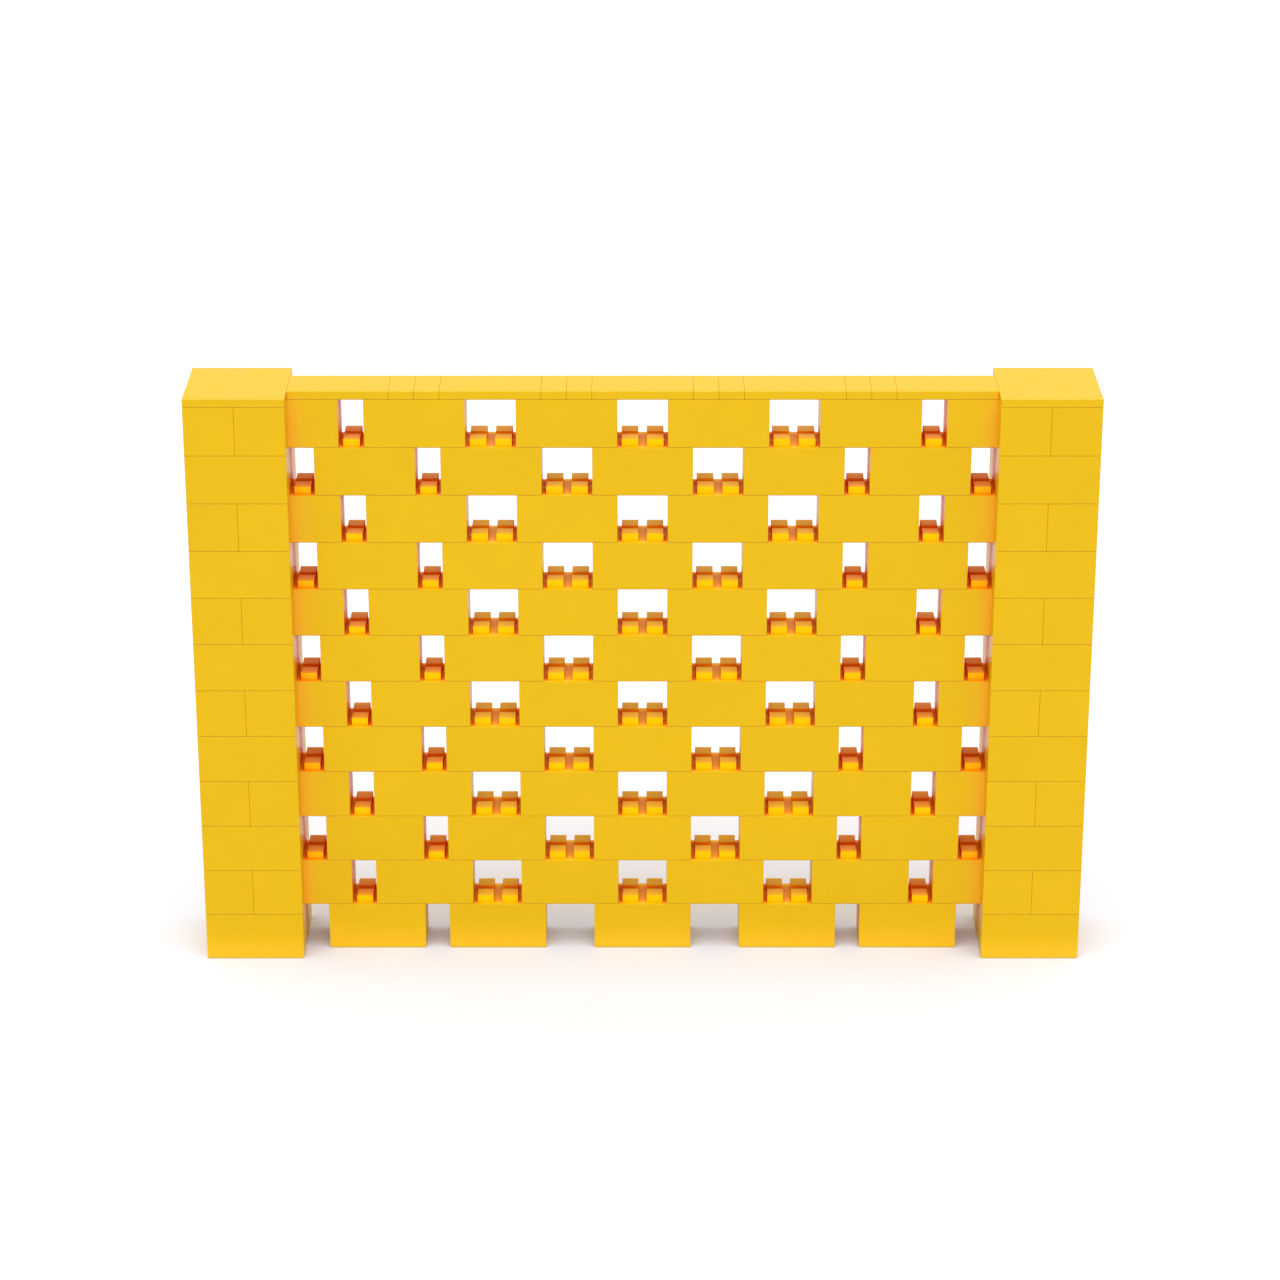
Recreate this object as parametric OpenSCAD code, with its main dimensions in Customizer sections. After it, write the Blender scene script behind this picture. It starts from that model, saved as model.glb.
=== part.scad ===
// Crowd control barrier: a lattice wall of stacking plastic blocks between two square towers.
// Every block sits on one square grid of studs. The studs of a block press into the open underside
// of the block above, so the barrier is built, and taken down again, course by course.
// X runs along the barrier, Y from the front face to the back, and Z up. The origin is on the
// floor, at the middle of the barrier's length and depth.

/* [Grid] */
// Distance between neighbouring stud centres, the module of every block
stud_pitch = 76.2; // [62:0.1:92]
// Height of one course, from deck to deck
course_h = 152.4; // [100:0.1:200]
// Play left around each block on its grid cells, on every side
side_play = 0.2; // [0.1:0.05:1]

/* [Studs] */
// Width of a square stud
stud_w = 50.8; // [42:0.1:61]
// Height of a stud above the deck
stud_h = 24; // [15:0.1:29]
// Wall of a hollow stud
stud_wall = 3.5; // [2:0.1:5]
// Play between a stud and the grip post, web or fin beside it
stud_fit = 0.15; // [0.1:0.05:0.5]

/* [Block walls] */
// Outer wall of a block
block_wall = 4; // [3:0.1:6]
// Thickness of the deck that the studs stand on
deck_t = 4; // [3:0.1:6]
// Thickness of a stiffening rib, web or fin
rib_t = 2.6; // [2:0.1:4]
// Wall of a hollow grip post
post_wall = 2.8; // [2:0.1:4]

/* [Caps] */
// Top plate of a finishing cap
cap_plate_t = 2.6; // [2:0.1:4]
// Room left above a stud inside a cap
stud_headroom = 0.4; // [0.2:0.1:2]

/* [Hidden] */
courses = 12;
block_cells = 4;                        // stud cells along a full block
block_rows = 2;                         // stud cells across a full block
tower_cells = 4;                        // stud cells along each side of a tower
span_cells = 28;                        // stud cells along the clear wall between the towers
wall_x0 = -span_cells / 2;
wall_y0 = -block_rows / 2;
tower_x0 = wall_x0 - tower_cells;
tower_y0 = -tower_cells / 2;
deck_z = courses * course_h;            // top deck, which carries the caps
stud_gap = stud_pitch - stud_w;         // clear distance between two studs
stud_bore = stud_w - 2 * stud_wall;
cap_h = cap_plate_t + stud_h + stud_headroom;
// First cell of each wall block. Runner courses stop short of the towers, and key courses run half
// a block into each of them.
runner_starts = [-13, -8, -2, 4, 9];
key_starts = [-16, -11, -5, 1, 7, 12];
// First cell of each finishing cap on the wall: full caps, with a pair of filler caps between them
full_cap_starts = [-14, -8, -2, 4, 10];
filler_cap_starts = [-10, -9, -4, -3, 2, 3, 8, 9];

function two_digits(n) = n < 10 ? str("0", n) : str(n);
function left_tower_name(c) = str("left_tower_course_", two_digits(c));
function right_tower_name(c) = str("right_tower_course_", two_digits(c));
function wall_name(c) = str("wall_course_", two_digits(c));
function full_cap_name(i) = str("full_cap_", i);
function filler_cap_name(i) = str("filler_cap_", i);

full_cap_numbers = [1:len(full_cap_starts)];
filler_cap_numbers = [1:len(filler_cap_starts)];

// Even courses are key courses, odd courses are runner courses
function is_key(c) = c % 2 == 0;
function course_z(c) = (c - 1) * course_h;

// Outline of a piece of nx by ny cells, drawn in from its grid lines
module outline(nx, ny, inset) {
    translate([inset, inset])
        square([nx * stud_pitch - 2 * inset, ny * stud_pitch - 2 * inset]);
}

// A square of one size on every stud centre
module on_studs(nx, ny, width) {
    for (i = [0:nx - 1], j = [0:ny - 1])
        translate([(i + 0.5) * stud_pitch, (j + 0.5) * stud_pitch])
            square(width, center = true);
}

// A grip post stands where the corners of four studs meet. It is a square tube turned by 45
// degrees, so that each of its flats lies against the corner of one stud.
grip_post_w = sqrt(2) * stud_gap - 2 * stud_fit;
module grip_posts(nx, ny, width) {
    for (i = [1:nx - 1], j = [1:ny - 1])
        translate([i * stud_pitch, j * stud_pitch])
            rotate(45)
                square(width, center = true);
}

// Cross ribs run from wall to wall on the inner grid lines and carry the grip posts
rib_end = side_play + block_wall / 2;
module cross_ribs(nx, ny) {
    for (i = [1:nx - 1])
        translate([i * stud_pitch - rib_t / 2, rib_end])
            square([rib_t, ny * stud_pitch - 2 * rib_end]);
}

// A piece one cell wide has no grip posts. A pair of webs between its two studs, and a fin from
// each long wall to the flank of each stud, hold it instead.
grip_reach = stud_gap / 2 - stud_fit;
module webs_and_fins(nx) {
    for (i = [1:nx - 1], x = [i * stud_pitch - grip_reach, i * stud_pitch + grip_reach - rib_t])
        translate([x, rib_end])
            square([rib_t, stud_pitch - 2 * rib_end]);
    for (i = [0:nx - 1], y = [rib_end, stud_pitch - grip_reach])
        translate([(i + 0.5) * stud_pitch - rib_t / 2, y])
            square([rib_t, grip_reach - rib_end]);
}

// Plan of all that hangs below a deck or a plate: outer wall, and what grips the studs below
module skirt_plan(nx, ny) {
    difference() {
        outline(nx, ny, side_play);
        outline(nx, ny, side_play + block_wall);
    }
    if (ny == 1)
        webs_and_fins(nx);
    else
        difference() {
            union() {
                cross_ribs(nx, ny);
                grip_posts(nx, ny, grip_post_w);
            }
            grip_posts(nx, ny, grip_post_w - 2 * post_wall);
        }
}

// A block of nx by ny cells: skirt, deck and hollow studs, open from below
module block(nx, ny) {
    linear_extrude(course_h - deck_t)
        skirt_plan(nx, ny);
    difference() {
        union() {
            translate([0, 0, course_h - deck_t])
                linear_extrude(deck_t)
                    outline(nx, ny, side_play);
            translate([0, 0, course_h])
                linear_extrude(stud_h)
                    on_studs(nx, ny, stud_w);
        }
        translate([0, 0, course_h - deck_t])
            linear_extrude(deck_t + stud_h - stud_wall)
                on_studs(nx, ny, stud_bore);
    }
}

// A finishing cap of nx by ny cells: skirt and flat plate
module cap(nx, ny) {
    linear_extrude(cap_h - cap_plate_t)
        skirt_plan(nx, ny);
    translate([0, 0, cap_h - cap_plate_t])
        linear_extrude(cap_plate_t)
            outline(nx, ny, side_play);
}

// Puts a piece's grid corner on a grid cell
module at_cell(x, y, z) {
    translate([x * stud_pitch, y * stud_pitch, z])
        children();
}

// Turns a piece of ny rows so that it runs front to back from the same grid corner
module turned(ny) {
    translate([ny * stud_pitch, 0, 0])
        rotate(90)
            children();
}

module full_block() {
    block(block_cells, block_rows);
}

// Half as long and half as wide as a full block
module quarter_block() {
    block(block_cells / 2, block_rows / 2);
}

// One course of the left tower. A runner course is two blocks side by side, with their long faces
// to the front and the back. A key course is one block turned front to back, and two quarter
// blocks that hold the end of the wall's key block between them.
module left_tower_course(c) {
    color("gold")
        if (is_key(c)) {
            at_cell(tower_x0, tower_y0, course_z(c))
                turned(block_rows) full_block();
            for (y = [tower_y0, -tower_y0 - block_rows / 2])
                at_cell(tower_x0 + block_rows, y, course_z(c))
                    quarter_block();
        } else
            for (y = [tower_y0, 0])
                at_cell(tower_x0, y, course_z(c))
                    full_block();
}

module right_tower_course(c) {
    mirror([1, 0, 0])
        left_tower_course(c);
}

// One course of the wall, a row of full blocks with windows between them
module wall_course(c) {
    color("gold")
        for (x = is_key(c) ? key_starts : runner_starts)
            at_cell(x, wall_y0, course_z(c))
                full_block();
}

module left_tower_cap() {
    color("khaki")
        at_cell(tower_x0, tower_y0, deck_z)
            cap(tower_cells, tower_cells);
}

module right_tower_cap() {
    mirror([1, 0, 0])
        left_tower_cap();
}

module full_cap(x) {
    color("khaki")
        at_cell(x, wall_y0, deck_z)
            cap(block_cells, block_rows);
}

// A filler cap is one cell along the wall and as deep as the wall
module filler_cap(x) {
    color("khaki")
        at_cell(x, wall_y0, deck_z)
            turned(1) cap(block_rows, 1);
}

for (c = [1:courses]) {
    left_tower_course(c);
    wall_course(c);
    right_tower_course(c);
}
left_tower_cap();
right_tower_cap();
for (i = full_cap_numbers)
    full_cap(full_cap_starts[i - 1]);
for (i = filler_cap_numbers)
    filler_cap(filler_cap_starts[i - 1]);
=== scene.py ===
"""A crowd control barrier of stacking plastic blocks, dressed over its CAD frame.

Every block and cap is worked out as one closed moulded shell: rounded outer edges, studs with a
fillet at their foot, and an underside with ribs, grip posts and hollow studs.
"""
import math

import bpy
import numpy as np
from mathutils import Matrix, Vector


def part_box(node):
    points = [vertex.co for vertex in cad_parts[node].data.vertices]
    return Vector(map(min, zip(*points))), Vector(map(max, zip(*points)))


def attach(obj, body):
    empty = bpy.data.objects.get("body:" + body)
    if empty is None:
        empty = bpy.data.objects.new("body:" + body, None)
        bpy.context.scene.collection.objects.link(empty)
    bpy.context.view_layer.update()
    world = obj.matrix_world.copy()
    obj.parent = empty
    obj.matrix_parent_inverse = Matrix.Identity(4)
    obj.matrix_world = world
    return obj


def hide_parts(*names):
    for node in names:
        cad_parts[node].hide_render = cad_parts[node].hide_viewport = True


bl_info = {
    "name": "Stacking Block Barrier",
    "version": (1, 0, 0),
    "blender": (4, 5, 0),
    "location": "3D View > Sidebar > Barrier",
    "description": "Builds a lattice crowd barrier of moulded stacking blocks over its CAD frame",
    "category": "Object",
}

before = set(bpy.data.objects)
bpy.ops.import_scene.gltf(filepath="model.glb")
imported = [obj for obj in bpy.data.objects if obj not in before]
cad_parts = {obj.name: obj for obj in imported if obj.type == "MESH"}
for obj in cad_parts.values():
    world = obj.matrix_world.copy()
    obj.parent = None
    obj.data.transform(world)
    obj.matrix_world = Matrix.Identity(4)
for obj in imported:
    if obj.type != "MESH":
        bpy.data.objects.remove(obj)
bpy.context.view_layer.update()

# The grid that every piece sits on, read from the frame
TOWER_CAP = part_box("left_tower_cap")
FILLER_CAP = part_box("filler_cap_1")
FIRST_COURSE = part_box("left_tower_course_01")
SECOND_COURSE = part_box("left_tower_course_02")
TOWER_CELLS = 4
FILLER_W = FILLER_CAP[1].x - FILLER_CAP[0].x
PITCH = (TOWER_CAP[1].x - TOWER_CAP[0].x - FILLER_W) / (TOWER_CELLS - 1)
PLAY = (PITCH - FILLER_W) / 2
COURSE_H = SECOND_COURSE[0].z - FIRST_COURSE[0].z
STUD_H = FIRST_COURSE[1].z - FIRST_COURSE[0].z - COURSE_H
CAP_H = TOWER_CAP[1].z - TOWER_CAP[0].z
COURSES = sum(name.startswith("wall_course_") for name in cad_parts)
TOP_DECK = COURSES * COURSE_H

# Lengths and first cells of the wall's pieces, counted in grid cells from the barrier's middle
BLOCK_CELLS = 4
BLOCK_ROWS = 2
RUNNER_STARTS = (-13, -8, -2, 4, 9)
KEY_STARTS = (-16, -11, -5, 1, 7, 12)
FULL_CAP_STARTS = (-14, -8, -2, 4, 10)
FILLER_CAP_STARTS = (-10, -9, -4, -3, 2, 3, 8, 9)
TOWER_START = -18

ARC_STEPS = 2  # flats in each rounded edge
SMOOTH_BELOW = math.radians(50)  # sharper edges than this stay sharp
HOLLOW_REACH = 0.15  # how far the shading looks for what hides a point

# The studio
FLOOR_RADII = (0.0, 2.0, 5.0, 12.0, 30.0, 80.0)
FLOOR_ANGLES = 96
FLOOR_Z = -0.0003  # clear of the lowest rims
SURROUND_STRENGTH = 1.0
KEY_STRENGTH = 1.65
KEY_SPREAD = math.radians(50)
KEY_TILT = math.radians(15)  # from straight overhead towards the front
CAMERA_PLACE = (-0.0079, -10.964, 5.483)
CAMERA_TILT = math.radians(90 - 22.14)
CAMERA_LENS = 107.7  # millimetres
CAMERA_REACH = 200


class BarrierSizes(bpy.types.PropertyGroup):
    """Sizes of a moulded block that its outer box doesn't give"""

    stud_w: bpy.props.FloatProperty(
        name="Stud width", description="Width of a square stud",
        default=0.0508, unit="LENGTH")
    stud_wall: bpy.props.FloatProperty(
        name="Stud wall", description="Wall of a hollow stud",
        default=0.0035, unit="LENGTH")
    stud_fit: bpy.props.FloatProperty(
        name="Stud fit", description="Play between a stud and what grips it",
        default=0.00015, unit="LENGTH")
    wall: bpy.props.FloatProperty(
        name="Wall", description="Outer wall and deck of a block",
        default=0.004, unit="LENGTH")
    plate: bpy.props.FloatProperty(
        name="Cap plate", description="Top plate of a finishing cap",
        default=0.0026, unit="LENGTH")
    rib: bpy.props.FloatProperty(
        name="Rib", description="Thickness of a cross rib, web or fin",
        default=0.0026, unit="LENGTH")
    post_wall: bpy.props.FloatProperty(
        name="Post wall", description="Wall of a hollow grip post",
        default=0.0028, unit="LENGTH")
    edge_r: bpy.props.FloatProperty(
        name="Edge radius", description="Rounding of a block's outer edges",
        default=0.0013, unit="LENGTH")
    rim_step: bpy.props.FloatProperty(
        name="Rim step", description="Height of the drawn-in step along a block's lower rim",
        default=0.0012, unit="LENGTH")
    stud_edge_r: bpy.props.FloatProperty(
        name="Stud edge radius", description="Rounding of a stud's edges",
        default=0.0012, unit="LENGTH")
    stud_foot_r: bpy.props.FloatProperty(
        name="Stud foot radius", description="Fillet where a stud meets the deck",
        default=0.0010, unit="LENGTH")


class BarrierColours(bpy.types.PropertyGroup):
    """Colours of the mouldings and of the studio, in sRGB hex"""

    block: bpy.props.StringProperty(
        name="Block", description="Colour of the moulded blocks", default="DEB100")
    # Painted shade and painted bounce light, put into the blocks' hollows
    hollow_shade: bpy.props.StringProperty(
        name="Deep", description="Colour that the blocks bounce into their hollows", default="FF6000")
    # Painted bounce light, put on decks and on wall faces in the towers' corners
    bounce_light: bpy.props.StringProperty(
        name="Glow", description="Colour of a deck, lit by its own studs", default="FFC400")
    scuff: bpy.props.StringProperty(
        name="Scuff", description="Colour of rubbed edges", default="FAD648")
    # Painted shade, put into the joint lines
    joint_shade: bpy.props.StringProperty(
        name="Grime", description="Colour of the grime in the joint lines", default="6E4A08")
    floor: bpy.props.StringProperty(
        name="Floor", description="Colour of the studio floor", default="E1E3EB")
    light: bpy.props.StringProperty(
        name="Light", description="Colour of the studio light", default="FFFFFF")


def linear(hex_colour):
    """An sRGB hex colour as linear red, green, blue and alpha."""
    channels = np.array([int(hex_colour[i:i + 2], 16) for i in (0, 2, 4)]) / 255
    low = channels / 12.92
    high = ((channels + 0.055) / 1.055) ** 2.4
    return (*np.where(channels <= 0.04045, low, high).tolist(), 1.0)


class Shell:
    """A closed surface put together from strips and polygons that share points along their borders."""

    def __init__(self):
        self.points = []
        self.faces = []
        self.marks = []
        self.count = 0

    def add(self, points, faces, mark):
        """Keeps faces, rows of indices into points. mark is 1 on a raised edge, -1 in a joint line
        and 0 elsewhere."""
        self.points.append(points.reshape(-1, 3))
        self.faces.append(faces + self.count)
        self.marks.append(np.full(len(faces), mark))
        self.count += len(self.points[-1])

    def strip(self, rings, mark=0.0, inward=False, skip=()):
        """Quads between each ring of points and the next, around closed rings: quad (k, i) joins
        points i and i + 1 of ring k to the same points of ring k + 1. skip names values of i that
        get no quad."""
        ring_count, size = rings.shape[:2]
        index = np.arange(ring_count * size).reshape(ring_count, size)
        index = np.stack([index, np.roll(index, -1, axis=1)], axis=-1)
        quads = np.concatenate([index[:-1], index[1:, :, ::-1]], axis=-1)
        quads = np.delete(quads, list(skip), axis=1).reshape(-1, 4)
        self.add(rings, quads[:, ::-1] if inward else quads, mark)

    def polygon(self, ring, inward=False):
        """One flat face with these corners."""
        order = np.arange(len(ring))[None]
        self.add(ring, order[:, ::-1] if inward else order, 0.0)

    def welded(self):
        """Points that coincide become one, and faces that this leaves with no area are dropped.
        Returns points, corner indices, the corners of each face and the mark of each face."""
        points = np.concatenate(self.points)
        _, first, same = np.unique(
            np.round(points, 7), axis=0, return_index=True, return_inverse=True)
        points, same = points[first], same.reshape(-1)
        corners, totals, marks = [], [], []
        for faces, mark in zip(self.faces, self.marks):
            faces = same[faces]
            p = points[faces]
            doubled = np.cross(p - p[:, :1], np.roll(p, -1, axis=1) - p[:, :1]).sum(axis=1)
            kept = np.linalg.norm(doubled, axis=1) > 1e-10
            faces, mark = faces[kept], mark[kept]
            distinct = faces != np.roll(faces, 1, axis=1)
            corners.append(faces[distinct])
            totals.append(distinct.sum(axis=1))
            marks.append(mark)
        return points, np.concatenate(corners), np.concatenate(totals), np.concatenate(marks)


def arc(start, end):
    """Cosine and sine at ARC_STEPS + 1 even angles from start to end, in degrees."""
    angles = np.radians(np.linspace(start, end, ARC_STEPS + 1))
    return np.cos(angles), np.sin(angles)


def outline(low, high, xs=(), ys=()):
    """A closed path round the rectangle from low to high, anticlockwise from its front left corner:
    the rectangle's own points, and at each the direction that points outwards. A corner appears once
    for each direction of its quarter arc, and xs and ys add points along the sides."""
    corners = [(low[0], low[1]), (high[0], low[1]), (high[0], high[1]), (low[0], high[1])]
    sides = [
        [(x, low[1]) for x in xs],
        [(high[0], y) for y in ys],
        [(x, high[1]) for x in reversed(xs)],
        [(low[0], y) for y in reversed(ys)],
    ]
    base, out = [], []
    for k in range(4):
        cos, sin = arc(180 + 90 * k, 270 + 90 * k)
        base += [corners[k]] * (ARC_STEPS + 1) + sides[k]
        out += list(zip(cos, sin)) + [(cos[-1], sin[-1])] * len(sides[k])
    return np.array(base), np.round(np.array(out), 12)


def swept(path, offsets, heights):
    """A profile carried along a path: ring k is the path moved outwards by offset k, at height k."""
    base, out = path
    flat = base[None] + np.asarray(offsets)[:, None, None] * out[None]
    up = np.broadcast_to(np.asarray(heights)[:, None, None], (*flat.shape[:2], 1))
    return np.concatenate([flat, up], axis=-1)


def cut_rectangle(low, high, cuts, z):
    """Eight points anticlockwise round a rectangle whose four corners, from the front left one, are
    cut off at 45 degrees by these lengths."""
    a, b, c, d = cuts
    (x0, y0), (x1, y1) = low, high
    flat = [(x0, y0 + a), (x0 + a, y0), (x1 - b, y0), (x1, y0 + b),
            (x1, y1 - c), (x1 - c, y1), (x0 + d, y1), (x0, y1 - d)]
    return np.array([(x, y, z) for x, y in flat])


def grid_lines(cells, edge):
    """Grid lines of that many cells, with the first and last drawn in by edge."""
    lines = np.arange(cells + 1) * PITCH
    lines[0] += edge
    lines[-1] -= edge
    return lines


def skirt(shell, nx, ny, height, sizes):
    """The outside from the lower rim up to the deck's border: a profile of the rim's drawn-in step
    and arc, the upright wall and the upper edge's arc, carried round the piece."""
    r, step = sizes.edge_r, sizes.rim_step
    xs, ys = grid_lines(nx, PLAY + r), grid_lines(ny, PLAY + r)
    path = outline((xs[0], ys[0]), (xs[-1], ys[-1]), list(xs[1:-1]), list(ys[1:-1]))
    rim_cos, rim_sin = arc(-90, 0)
    top_cos, top_sin = arc(0, 90)
    lower = swept(path, [0, *r * rim_cos], [0, *step + r + r * rim_sin])
    upper = swept(path, r * top_cos, height - r + r * top_sin)
    shell.strip(lower, mark=-1.0)
    shell.strip(np.stack([lower[-1], upper[0]]))
    shell.strip(upper, mark=1.0)


def stud(shell, low, high, centre, sizes):
    """One cell of the deck with its stud: the cell's border closes in to the stud's foot, and a
    profile of foot fillet, upright side and top arc is carried round a rounded square."""
    r, foot = sizes.stud_edge_r, sizes.stud_foot_r
    half = sizes.stud_w / 2 - r
    path = outline(centre - half, centre + half)
    border = outline(low, high)[0]
    deck = np.column_stack([border, np.full(len(border), COURSE_H)])
    foot_cos, foot_sin = arc(270, 180)
    top_cos, top_sin = arc(0, 90)
    fillet = swept(path, r + foot + foot * foot_cos, COURSE_H + foot + foot * foot_sin)
    crown = swept(path, r * top_cos, COURSE_H + STUD_H - r + r * top_sin)
    shell.strip(np.stack([deck, fillet[0]]))
    shell.strip(fillet)
    shell.strip(np.stack([fillet[-1], crown[0]]))
    shell.strip(crown, mark=1.0)
    shell.polygon(crown[-1])


def stud_bore(shell, pocket, centre, ceiling, top, sizes):
    """The ceiling over a stud's cell and the hollow of the stud above it, seen from below."""
    half = sizes.stud_w / 2 - sizes.stud_wall
    cuts = [sizes.stud_edge_r] * 4
    mouth = cut_rectangle(centre - half, centre + half, cuts, ceiling)
    end = mouth + (0, 0, top - ceiling)
    shell.strip(np.stack([pocket, mouth, end]), inward=True)
    shell.polygon(end, inward=True)


def posted_underside(shell, nx, ny, ceiling, bore_top, sizes):
    """The underside of a piece with grip posts. In each cell the rim's inner border leads in to a
    pocket, up its walls and over its ceiling. A post cuts the corner of each pocket that meets it,
    and pockets of one column are open to each other."""
    inner = PLAY + sizes.wall
    xs, ys = grid_lines(nx, PLAY + sizes.edge_r), grid_lines(ny, PLAY + sizes.edge_r)
    post_out = (PITCH - sizes.stud_w) - math.sqrt(2) * sizes.stud_fit
    post_in = post_out - math.sqrt(2) * sizes.post_wall
    half_rib = sizes.rib / 2
    for i in range(nx):
        for j in range(ny):
            crossings = ((i, j), (i + 1, j), (i + 1, j + 1), (i, j + 1))
            posts = np.array([0 < a < nx and 0 < b < ny for a, b in crossings])
            rim = cut_rectangle((xs[i], ys[j]), (xs[i + 1], ys[j + 1]), posts * post_in, 0)
            low = (inner if i == 0 else i * PITCH + half_rib, inner if j == 0 else j * PITCH)
            high = (nx * PITCH - inner if i == nx - 1 else (i + 1) * PITCH - half_rib,
                    ny * PITCH - inner if j == ny - 1 else (j + 1) * PITCH)
            mouth = cut_rectangle(low, high, posts * (post_out - half_rib), 0)
            roof = mouth + (0, 0, ceiling)
            open_sides = [1] * (j > 0) + [5] * (j < ny - 1)
            shell.strip(np.stack([rim, mouth]), inward=True)
            shell.strip(np.stack([mouth, roof]), inward=True, skip=open_sides)
            centre = np.array([i + 0.5, j + 0.5]) * PITCH
            if bore_top:
                stud_bore(shell, roof, centre, ceiling, bore_top, sizes)
            else:
                shell.polygon(roof, inward=True)
    for i in range(1, nx):
        for j in range(1, ny):
            turns = np.array([(-1, 0), (0, -1), (1, 0), (0, 1)]) * post_in
            hole = np.column_stack([turns + np.array([i, j]) * PITCH, np.zeros(4)])
            shell.strip(np.stack([hole, hole + (0, 0, ceiling)]), inward=True)
            shell.polygon(hole + (0, 0, ceiling), inward=True)


def webbed_underside(shell, nx, ceiling, bore_top, sizes):
    """The underside of a piece one cell wide: a pocket under each stud, a narrow one between each
    pair of webs, and fins from the long walls to the flanks of the studs."""
    edge, inner = PLAY + sizes.edge_r, PLAY + sizes.wall
    reach = (PITCH - sizes.stud_w) / 2 - sizes.stud_fit
    # Each grid line has a web on both sides of it, so pockets and webs take turns along the limits,
    # and every fourth stretch is the pocket under a stud
    limits = [inner]
    for i in range(1, nx):
        line = i * PITCH
        limits += [line - reach, line - reach + sizes.rib, line + reach - sizes.rib, line + reach]
    limits.append(nx * PITCH - inner)
    y0, y1 = inner, PITCH - inner
    rim_xs = grid_lines(nx, edge)
    front = [(x, edge, 0) for x in rim_xs] + [(x, y0, 0) for x in reversed(limits)]
    back = [(x, PITCH - edge, 0) for x in reversed(rim_xs)] + [(x, y1, 0) for x in limits]
    left = [(rim_xs[0], PITCH - edge, 0), (rim_xs[0], edge, 0), (inner, y0, 0), (inner, y1, 0)]
    right = [(nx * PITCH - x, PITCH - y, z) for x, y, z in left]
    for ring in (front, back, left, right):
        shell.polygon(np.array(ring), inward=True)
    for k in range(len(limits) - 1):
        mouth = cut_rectangle((limits[k], y0), (limits[k + 1], y1), (0, 0, 0, 0), 0)
        if k % 2:
            shell.polygon(mouth[::2], inward=True)
            continue
        roof = mouth + (0, 0, ceiling)
        shell.strip(np.stack([mouth, roof]), inward=True)
        centre = np.array([k / 4 + 0.5, 0.5]) * PITCH
        if bore_top and k % 4 == 0:
            stud_bore(shell, roof, centre, ceiling, bore_top, sizes)
        else:
            shell.polygon(roof, inward=True)
    for i in range(nx):
        x = (i + 0.5) * PITCH
        for low_y, high_y in ((y0, reach), (PITCH - reach, y1)):
            base = cut_rectangle(
                (x - sizes.rib / 2, low_y), (x + sizes.rib / 2, high_y), (0, 0, 0, 0), 0)[::2]
            top = base + (0, 0, ceiling)
            shell.strip(np.stack([base, top]))
            shell.polygon(base, inward=True)
            shell.polygon(top)


def block_shell(nx, ny, sizes):
    """A block of nx by ny cells, with its grid corner at zero."""
    shell = Shell()
    skirt(shell, nx, ny, COURSE_H, sizes)
    xs, ys = grid_lines(nx, PLAY + sizes.edge_r), grid_lines(ny, PLAY + sizes.edge_r)
    for i in range(nx):
        for j in range(ny):
            centre = np.array([i + 0.5, j + 0.5]) * PITCH
            stud(shell, (xs[i], ys[j]), (xs[i + 1], ys[j + 1]), centre, sizes)
    ceiling = COURSE_H - sizes.wall
    bore_top = COURSE_H + STUD_H - sizes.stud_wall
    if ny == 1:
        webbed_underside(shell, nx, ceiling, bore_top, sizes)
    else:
        posted_underside(shell, nx, ny, ceiling, bore_top, sizes)
    return shell.welded()


def cap_shell(nx, ny, sizes):
    """A finishing cap of nx by ny cells, with its grid corner at zero: a flat plate over a low
    skirt."""
    shell = Shell()
    skirt(shell, nx, ny, CAP_H, sizes)
    xs, ys = grid_lines(nx, PLAY + sizes.edge_r), grid_lines(ny, PLAY + sizes.edge_r)
    for i in range(nx):
        for j in range(ny):
            tile = cut_rectangle((xs[i], ys[j]), (xs[i + 1], ys[j + 1]), (0, 0, 0, 0), CAP_H)
            shell.polygon(tile[::2])
    ceiling = CAP_H - sizes.plate
    if ny == 1:
        webbed_underside(shell, nx, ceiling, 0, sizes)
    else:
        posted_underside(shell, nx, ny, ceiling, 0, sizes)
    return shell.welded()


def turned(shell, ny):
    """The same piece turned a quarter turn, so that it runs front to back from its grid corner."""
    points, corners, totals, marks = shell
    x, y, z = points.T
    return np.column_stack([ny * PITCH - y, x, z]), corners, totals, marks


def mesh_from(name, points, corners, totals, material):
    """A mesh with these points. corners holds every face's points one after another, and totals the
    number of them in each face."""
    mesh = bpy.data.meshes.new(name)
    mesh.vertices.add(len(points))
    mesh.vertices.foreach_set("co", points.astype(np.float32).ravel())
    mesh.loops.add(len(corners))
    mesh.loops.foreach_set("vertex_index", corners.astype(np.int32))
    mesh.polygons.add(len(totals))
    mesh.polygons.foreach_set("loop_start", (np.cumsum(totals) - totals).astype(np.int32))
    mesh.update(calc_edges=True)
    mesh.validate()
    mesh.materials.append(material)
    return mesh


def face_values(mesh, name, values):
    """Keeps one number for each face, which the material reads by this name."""
    layer = mesh.attributes.new(name, "FLOAT", "FACE")
    layer.data.foreach_set("value", values.astype(np.float32))


def mark_faces(mesh, name, shell):
    """The face values of one piece: its worn edges and joint lines, its studded deck, the faces
    that look out across the wall, and the tone of the batch it was moulded in."""
    points, corners, totals, marks = shell
    lowest = np.minimum.reduceat(points[corners, 2], np.cumsum(totals) - totals)
    normals = np.empty(3 * len(totals), np.float32)
    mesh.polygons.foreach_get("normal", normals)
    tone = np.random.default_rng(list(name.encode())).uniform(-1, 1)
    face_values(mesh, "worn_edges_and_joint_shade", marks)
    face_values(mesh, "studded_deck", lowest > COURSE_H - 1e-6)
    face_values(mesh, "broadside", np.abs(normals[1::3]))
    face_values(mesh, "batch_tone", np.full(len(totals), tone))


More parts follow.
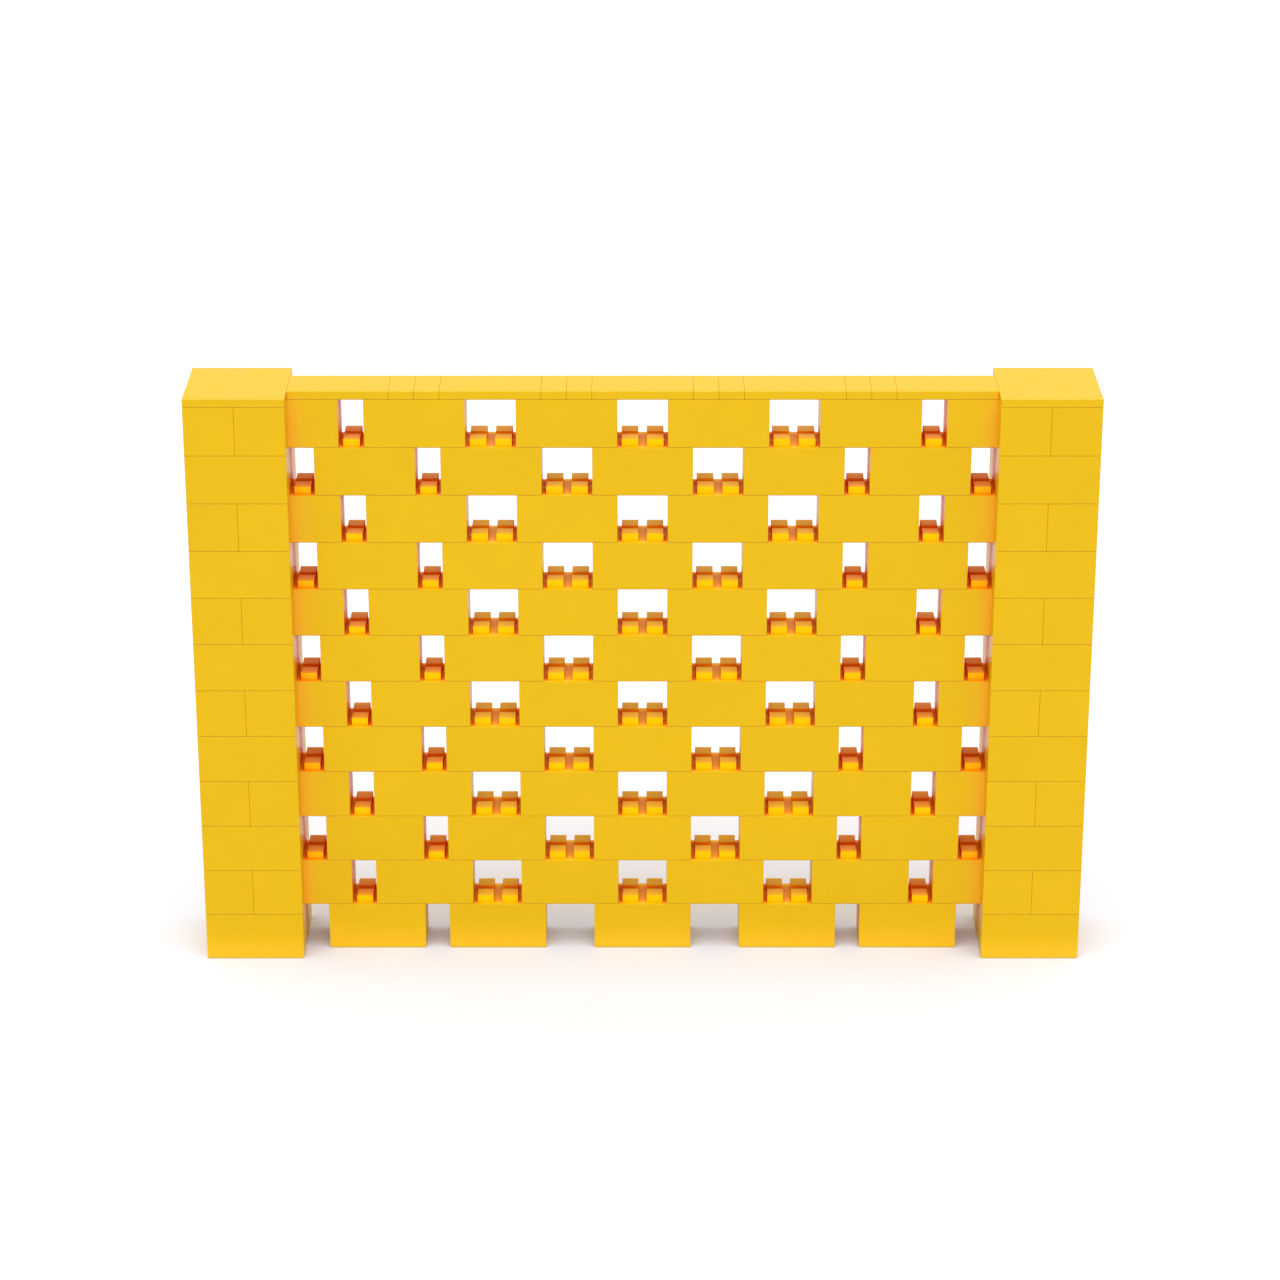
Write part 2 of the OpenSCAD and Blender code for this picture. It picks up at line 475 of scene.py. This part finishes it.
def add_piece(name, shell, cell, height, body, node, material):
    """Makes one moulded piece from a shell, with its grid corner on a cell at a height, ties it to its
    body and hides the CAD node that it stands for."""
    points, corners, totals, _ = shell
    points = points + (cell[0] * PITCH, cell[1] * PITCH, height)
    mesh = mesh_from(name, points, corners, totals, material)
    mark_faces(mesh, name, shell)
    mesh.polygons.foreach_set("use_smooth", np.ones(len(totals), bool))
    mesh.set_sharp_from_angle(angle=SMOOTH_BELOW)
    piece = bpy.data.objects.new(name, mesh)
    bpy.context.scene.collection.objects.link(piece)
    flats = piece.modifiers.new("Flat faces stay flat", "WEIGHTED_NORMAL")
    flats.keep_sharp = True
    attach(piece, body)
    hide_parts(node)
    return piece


def node_with(tree, kind, inputs=None, **settings):
    """Adds a node with these settings. inputs maps each input socket to its value, or to the output
    socket that feeds it."""
    node = tree.nodes.new(kind)
    for key, value in settings.items():
        setattr(node, key, value)
    for socket, value in (inputs or {}).items():
        if isinstance(value, bpy.types.NodeSocket):
            tree.links.new(value, node.inputs[socket])
        else:
            node.inputs[socket].default_value = value
    return node


def pigment(tree, place, colours):
    """The dyed plastic: streaks about 120 mm long, and a small difference from block to block."""
    streaks = node_with(tree, "ShaderNodeTexNoise", {
        "Vector": place, "Scale": 1 / 0.12, "Detail": 3.0, "Roughness": 0.55})
    streak_tone = node_with(tree, "ShaderNodeMapRange", {
        "Value": streaks.outputs["Fac"], "From Min": 0.3, "From Max": 0.7,
        "To Min": 0.985, "To Max": 1.015})
    batch = node_with(tree, "ShaderNodeAttribute", attribute_name="batch_tone")
    batch_tone = node_with(tree, "ShaderNodeMapRange", {
        "Value": batch.outputs["Fac"], "From Min": -1.0, "From Max": 1.0,
        "To Min": 0.988, "To Max": 1.012})
    tone = node_with(tree, "ShaderNodeMath", {
        0: streak_tone.outputs["Result"], 1: batch_tone.outputs["Result"]}, operation="MULTIPLY")
    dyed = node_with(tree, "ShaderNodeHueSaturation", {
        "Value": tone.outputs["Value"], "Color": linear(colours.block)})
    return dyed.outputs["Color"]


def rubbed_edges(tree, place, plastic, wear_and_joint_shade, colours):
    """Raised edges are rubbed paler, in patches about 25 mm long."""
    rubs = node_with(tree, "ShaderNodeTexNoise", {
        "Vector": place, "Scale": 1 / 0.025, "Detail": 4.0, "Roughness": 0.6})
    patches = node_with(tree, "ShaderNodeMapRange", {
        "Value": rubs.outputs["Fac"], "From Min": 0.42, "From Max": 0.7,
        "To Min": 0.0, "To Max": 0.35})
    raised = node_with(tree, "ShaderNodeMath", {
        0: wear_and_joint_shade, 1: patches.outputs["Result"]}, operation="MULTIPLY", use_clamp=True)
    rubbed = node_with(tree, "ShaderNodeMix", {
        "Factor": raised.outputs["Value"], "A": plastic, "B": linear(colours.scuff)},
        data_type="RGBA")
    return rubbed.outputs["Result"]


def painted_neighbour_light(tree, plastic, open_air, deck, colours):
    """Painted bounce light: studs throw light on each other, which brightens and warms a deck, and so
    do the towers on the wall's long faces where they meet in a corner, so a brighter, warmer colour is
    painted there."""
    corner = node_with(tree, "ShaderNodeMapRange", {
        "Value": open_air, "From Min": 0.5, "From Max": 0.9, "To Min": 0.7, "To Max": 0.0})
    broadside = node_with(tree, "ShaderNodeAttribute", attribute_name="broadside")
    corner_lit = node_with(tree, "ShaderNodeMath", {
        0: corner.outputs["Result"], 1: broadside.outputs["Fac"]}, operation="MULTIPLY")
    warmed = node_with(tree, "ShaderNodeMath", {
        0: deck, 1: corner_lit.outputs["Value"]}, operation="MAXIMUM")
    lit = node_with(tree, "ShaderNodeMix", {
        "Factor": warmed.outputs["Value"], "A": plastic, "B": linear(colours.bounce_light)},
        data_type="RGBA")
    return lit.outputs["Result"]


def painted_joint_shade(tree, plastic, wear_and_joint_shade, colours):
    """Painted shade: the joint lines are painted darker, where shade falls in their narrow grooves."""
    joint = node_with(tree, "ShaderNodeMapRange", {
        "Value": wear_and_joint_shade, "From Min": -1.0, "From Max": 0.0, "To Min": 0.36, "To Max": 0.0})
    joint_shaded = node_with(tree, "ShaderNodeMix", {
        "Factor": joint.outputs["Result"], "A": plastic, "B": linear(colours.joint_shade)},
        data_type="RGBA")
    return joint_shaded.outputs["Result"]


def painted_hollow_shade(tree, place, plastic, wear_and_joint_shade, open_air, colours):
    """Painted shade and bounce light: light that bounces between faces of one strong pigment turns
    orange. Three colour channels carry too little of that, so what is hidden is painted a redder
    orange, as painted shade. The pale floor gives none of it, so the painted shade fades out down the
    lowest course, and joint lines stay dark."""
    hidden = node_with(tree, "ShaderNodeMapRange", {
        "Value": open_air, "From Min": 0.0, "From Max": 0.65, "To Min": 1.0, "To Max": 0.0})
    height = node_with(tree, "ShaderNodeSeparateXYZ", {"Vector": place})
    off_floor = node_with(tree, "ShaderNodeMapRange", {
        "Value": height.outputs["Z"], "From Min": 0.02, "From Max": 0.15})
    above_floor = node_with(tree, "ShaderNodeMath", {
        0: hidden.outputs["Result"], 1: off_floor.outputs["Result"]}, operation="MULTIPLY")
    outside_joints = node_with(tree, "ShaderNodeMapRange", {
        "Value": wear_and_joint_shade, "From Min": -1.0, "From Max": 0.0})
    bounced = node_with(tree, "ShaderNodeMath", {
        0: above_floor.outputs["Value"], 1: outside_joints.outputs["Result"]}, operation="MULTIPLY")
    tinted = node_with(tree, "ShaderNodeMix", {
        "Factor": bounced.outputs["Value"], "A": plastic, "B": linear(colours.hollow_shade)},
        data_type="RGBA")
    return tinted.outputs["Result"]


def sheen(tree, open_air, deck):
    """How strongly the plastic mirrors the studio. Deep hollows are too dim to mirror it, weather
    dulls what it reaches, and decks come duller from the mould than walls do, so the faces inside
    the windows shine most."""
    mirrored = node_with(tree, "ShaderNodeMapRange", {
        "Value": open_air, "From Min": 0.2, "From Max": 0.4, "To Min": 0.0, "To Max": 0.4})
    weathered = node_with(tree, "ShaderNodeMapRange", {
        "Value": open_air, "From Min": 0.5, "From Max": 0.8, "To Min": 1.0, "To Max": 0.42})
    dulled = node_with(tree, "ShaderNodeMapRange", {"Value": deck, "To Min": 1.0, "To Max": 0.2})
    kept = node_with(tree, "ShaderNodeMath", {
        0: weathered.outputs["Result"], 1: dulled.outputs["Result"]}, operation="MULTIPLY")
    shine = node_with(tree, "ShaderNodeMath", {
        0: mirrored.outputs["Result"], 1: kept.outputs["Value"]}, operation="MULTIPLY")
    return shine.outputs["Value"]


def handled_gloss(tree, place):
    """Roughness: handling marks about 60 mm across dull the gloss a little."""
    handling = node_with(tree, "ShaderNodeTexNoise", {
        "Vector": place, "Scale": 1 / 0.06, "Detail": 5.0, "Roughness": 0.65})
    gloss = node_with(tree, "ShaderNodeMapRange", {
        "Value": handling.outputs["Fac"], "From Min": 0.3, "From Max": 0.75,
        "To Min": 0.30, "To Max": 0.42})
    return gloss.outputs["Result"]


def moulded_relief(tree, place):
    """Faces draw in slightly as they cool, in waves about 70 mm long, under the mould's texture,
    which is about 0.4 mm on the real thing and drawn at 2.5 mm, so that it shows."""
    draw_in = node_with(tree, "ShaderNodeTexNoise", {
        "Vector": place, "Scale": 1 / 0.07, "Detail": 0.0, "Roughness": 0.0})
    waves = node_with(tree, "ShaderNodeBump", {
        "Height": draw_in.outputs["Fac"], "Strength": 0.25, "Distance": 0.0008})
    grain = node_with(tree, "ShaderNodeTexNoise", {
        "Vector": place, "Scale": 1 / 0.0025, "Detail": 2.0, "Roughness": 0.5})
    relief = node_with(tree, "ShaderNodeBump", {
        "Height": grain.outputs["Fac"], "Strength": 0.12, "Distance": 0.0003,
        "Normal": waves.outputs["Normal"]})
    return relief.outputs["Normal"]


def moulded_polypropylene(name, colours):
    """Injection-moulded polypropylene with a fine spark-eroded texture: an even, saturated colour with
    a soft gloss that shows at grazing angles. Bounce light on the decks and in the towers' corners,
    and shade in the joint lines and hollows, are painted into the colour."""
    material = bpy.data.materials.new(name)
    material.use_nodes = True
    tree = material.node_tree
    tree.nodes.clear()
    place = node_with(tree, "ShaderNodeTexCoord").outputs["Object"]
    wear_and_joint_shade = node_with(tree, "ShaderNodeAttribute", attribute_name="worn_edges_and_joint_shade").outputs["Fac"]
    deck = node_with(tree, "ShaderNodeAttribute", attribute_name="studded_deck").outputs["Fac"]
    open_air = node_with(
        tree, "ShaderNodeAmbientOcclusion", {"Distance": HOLLOW_REACH}, samples=8).outputs["AO"]
    plastic = pigment(tree, place, colours)
    plastic = rubbed_edges(tree, place, plastic, wear_and_joint_shade, colours)
    # Painted bounce light on the decks and in the towers' corners
    plastic = painted_neighbour_light(tree, plastic, open_air, deck, colours)
    # Painted shade in the joint lines
    plastic = painted_joint_shade(tree, plastic, wear_and_joint_shade, colours)
    # Painted shade and bounce light in the hollows, driven by ambient occlusion
    plastic = painted_hollow_shade(tree, place, plastic, wear_and_joint_shade, open_air, colours)
    shader = node_with(tree, "ShaderNodeBsdfPrincipled", {
        "Base Color": plastic, "Roughness": handled_gloss(tree, place), "IOR": 1.49,
        "Specular IOR Level": sheen(tree, open_air, deck), "Normal": moulded_relief(tree, place)})
    node_with(tree, "ShaderNodeOutputMaterial", {"Surface": shader.outputs["BSDF"]})
    return material


def block_material(colours):
    """The one moulding material, made once."""
    name = "Injection-moulded polypropylene, yellow"
    return bpy.data.materials.get(name) or moulded_polypropylene(name, colours)


def course_number(course):
    """A course's number as the frame writes it, in two digits."""
    return f"{course:02d}"


class BARRIER_OT_wall_blocks(bpy.types.Operator):
    """Lay the full blocks of the lattice wall, course by course"""

    bl_idname = "barrier.wall_blocks"
    bl_label = "Wall blocks"

    def execute(self, context):
        sizes, colours = context.scene.barrier_sizes, context.scene.barrier_colours
        material = block_material(colours)
        block = block_shell(BLOCK_CELLS, BLOCK_ROWS, sizes)
        for course in range(1, COURSES + 1):
            number = course_number(course)
            starts = KEY_STARTS if course % 2 == 0 else RUNNER_STARTS
            for k, x in enumerate(starts, 1):
                add_piece(
                    f"wall_{number}_block_{k}", block, (x, -BLOCK_ROWS / 2),
                    (course - 1) * COURSE_H, f"course_{number}", f"wall_course_{number}",
                    material)
        return {"FINISHED"}


class BARRIER_OT_tower_blocks(bpy.types.Operator):
    """Lay the full and quarter blocks of both end towers, course by course"""

    bl_idname = "barrier.tower_blocks"
    bl_label = "Tower blocks"

    def execute(self, context):
        sizes, colours = context.scene.barrier_sizes, context.scene.barrier_colours
        material = block_material(colours)
        block = block_shell(BLOCK_CELLS, BLOCK_ROWS, sizes)
        across = turned(block, BLOCK_ROWS)
        quarter = block_shell(BLOCK_CELLS // 2, BLOCK_ROWS // 2, sizes)
        front, end = -TOWER_CELLS // 2, TOWER_START + TOWER_CELLS
        # First cells for the left tower. The right tower mirrors them by each piece's own length.
        runner = ((block, TOWER_START, front, 4), (block, TOWER_START, 0, 4))
        key = ((across, TOWER_START, front, 2), (quarter, end - 2, front, 2),
               (quarter, end - 2, -front - 1, 2))
        for course in range(1, COURSES + 1):
            number = course_number(course)
            for side in ("left", "right"):
                for k, (shell, x, y, length) in enumerate(key if course % 2 == 0 else runner, 1):
                    add_piece(
                        f"{side}_tower_{number}_block_{k}", shell,
                        (x if side == "left" else -x - length, y), (course - 1) * COURSE_H,
                        f"course_{number}", f"{side}_tower_course_{number}",
                        material)
        return {"FINISHED"}


class BARRIER_OT_caps(bpy.types.Operator):
    """Fit the tower caps, the full caps and the filler caps on the top course"""

    bl_idname = "barrier.caps"
    bl_label = "Finishing caps"

    def execute(self, context):
        sizes, colours = context.scene.barrier_sizes, context.scene.barrier_colours
        material = block_material(colours)
        tower = cap_shell(TOWER_CELLS, TOWER_CELLS, sizes)
        full = cap_shell(BLOCK_CELLS, BLOCK_ROWS, sizes)
        filler = turned(cap_shell(BLOCK_ROWS, 1, sizes), 1)
        front = -TOWER_CELLS / 2
        places = [("left_tower_cap", tower, TOWER_START, front),
                  ("right_tower_cap", tower, -TOWER_START - TOWER_CELLS, front)]
        places += [(f"full_cap_{k}", full, x, -BLOCK_ROWS / 2)
                   for k, x in enumerate(FULL_CAP_STARTS, 1)]
        places += [(f"filler_cap_{k}", filler, x, -BLOCK_ROWS / 2)
                   for k, x in enumerate(FILLER_CAP_STARTS, 1)]
        for node, shell, x, y in places:
            add_piece(f"{node}_moulding", shell, (x, y), TOP_DECK, node, node,
                      material)
        return {"FINISHED"}


def studio_floor(colours):
    """A matt painted floor, pale and nearly white."""
    material = bpy.data.materials.new("Matt painted studio floor")
    material.use_nodes = True
    tree = material.node_tree
    tree.nodes.clear()
    place = node_with(tree, "ShaderNodeTexCoord").outputs["Object"]
    # Roller marks about 400 mm across, barely there
    marks = node_with(tree, "ShaderNodeTexNoise", {"Vector": place, "Scale": 1 / 0.4, "Detail": 2.0})
    tone = node_with(tree, "ShaderNodeMapRange", {
        "Value": marks.outputs["Fac"], "To Min": 0.99, "To Max": 1.01})
    paint = node_with(tree, "ShaderNodeHueSaturation", {
        "Value": tone.outputs["Result"], "Color": linear(colours.floor)})
    shader = node_with(tree, "ShaderNodeBsdfPrincipled", {
        "Base Color": paint.outputs["Color"], "Roughness": 0.9, "Specular IOR Level": 0.1})
    node_with(tree, "ShaderNodeOutputMaterial", {"Surface": shader.outputs["BSDF"]})
    return material


def lay_floor(scene, colours):
    """A flat disc: point (k, i) is at radius k and angle 2 pi i / FLOOR_ANGLES."""
    angles = np.linspace(0, 2 * np.pi, FLOOR_ANGLES, endpoint=False)
    x, y = np.outer(FLOOR_RADII, np.cos(angles)), np.outer(FLOOR_RADII, np.sin(angles))
    shell = Shell()
    shell.strip(np.stack([x, y, np.full_like(x, FLOOR_Z)], axis=-1), inward=True)
    points, corners, totals, _ = shell.welded()
    mesh = mesh_from("studio_floor", points, corners, totals, studio_floor(colours))
    floor = bpy.data.objects.new("studio_floor", mesh)
    scene.collection.objects.link(floor)


def light_studio(scene, colours):
    """A white surround with a broad soft key overhead."""
    scene.world = bpy.data.worlds.new("Studio surround")
    scene.world.use_nodes = True
    surround = scene.world.node_tree.nodes["Background"]
    surround.inputs["Color"].default_value = linear(colours.light)
    surround.inputs["Strength"].default_value = SURROUND_STRENGTH
    lamp = bpy.data.lights.new("Overhead soft key", "SUN")
    lamp.energy = KEY_STRENGTH
    lamp.angle = KEY_SPREAD
    key = bpy.data.objects.new("Overhead soft key", lamp)
    key.rotation_euler = (KEY_TILT, 0, 0)
    scene.collection.objects.link(key)


def place_camera(scene):
    """A long lens from the front, looking down on the barrier."""
    camera = bpy.data.objects.new("Camera", bpy.data.cameras.new("Camera"))
    camera.data.lens = CAMERA_LENS
    camera.data.clip_end = CAMERA_REACH
    camera.location = CAMERA_PLACE
    camera.rotation_euler = (CAMERA_TILT, 0, 0)
    scene.collection.objects.link(camera)
    scene.camera = camera


class BARRIER_OT_stage(bpy.types.Operator):
    """Set up the floor, the soft studio light and the camera"""

    bl_idname = "barrier.stage"
    bl_label = "Stage"

    def execute(self, context):
        scene, colours = context.scene, context.scene.barrier_colours
        lay_floor(scene, colours)
        light_studio(scene, colours)
        place_camera(scene)
        scene.view_settings.view_transform = "Standard"
        return {"FINISHED"}


class BARRIER_PT_panel(bpy.types.Panel):
    """Sizes, colours and the steps that build the barrier"""

    bl_idname = "BARRIER_PT_panel"
    bl_label = "Stacking Block Barrier"
    bl_space_type = "VIEW_3D"
    bl_region_type = "UI"
    bl_category = "Barrier"

    def draw(self, context):
        for group in (context.scene.barrier_sizes, context.scene.barrier_colours):
            box = self.layout.box()
            for name in group.__annotations__:
                box.prop(group, name)
        for operator in OPERATORS:
            self.layout.operator(operator.bl_idname)


OPERATORS = (
    BARRIER_OT_wall_blocks,
    BARRIER_OT_tower_blocks,
    BARRIER_OT_caps,
    BARRIER_OT_stage,
)
CLASSES = (BarrierSizes, BarrierColours, *OPERATORS, BARRIER_PT_panel)


def register():
    """Makes the classes known to Blender, with the sizes and colours on each scene."""
    for cls in CLASSES:
        bpy.utils.register_class(cls)
    bpy.types.Scene.barrier_sizes = bpy.props.PointerProperty(type=BarrierSizes)
    bpy.types.Scene.barrier_colours = bpy.props.PointerProperty(type=BarrierColours)


def unregister():
    """Takes back what register() did."""
    del bpy.types.Scene.barrier_colours
    del bpy.types.Scene.barrier_sizes
    for cls in reversed(CLASSES):
        bpy.utils.unregister_class(cls)


def main():
    register()
    bpy.ops.barrier.wall_blocks()
    bpy.ops.barrier.tower_blocks()
    bpy.ops.barrier.caps()
    bpy.ops.barrier.stage()


if __name__ == "__main__":
    main()
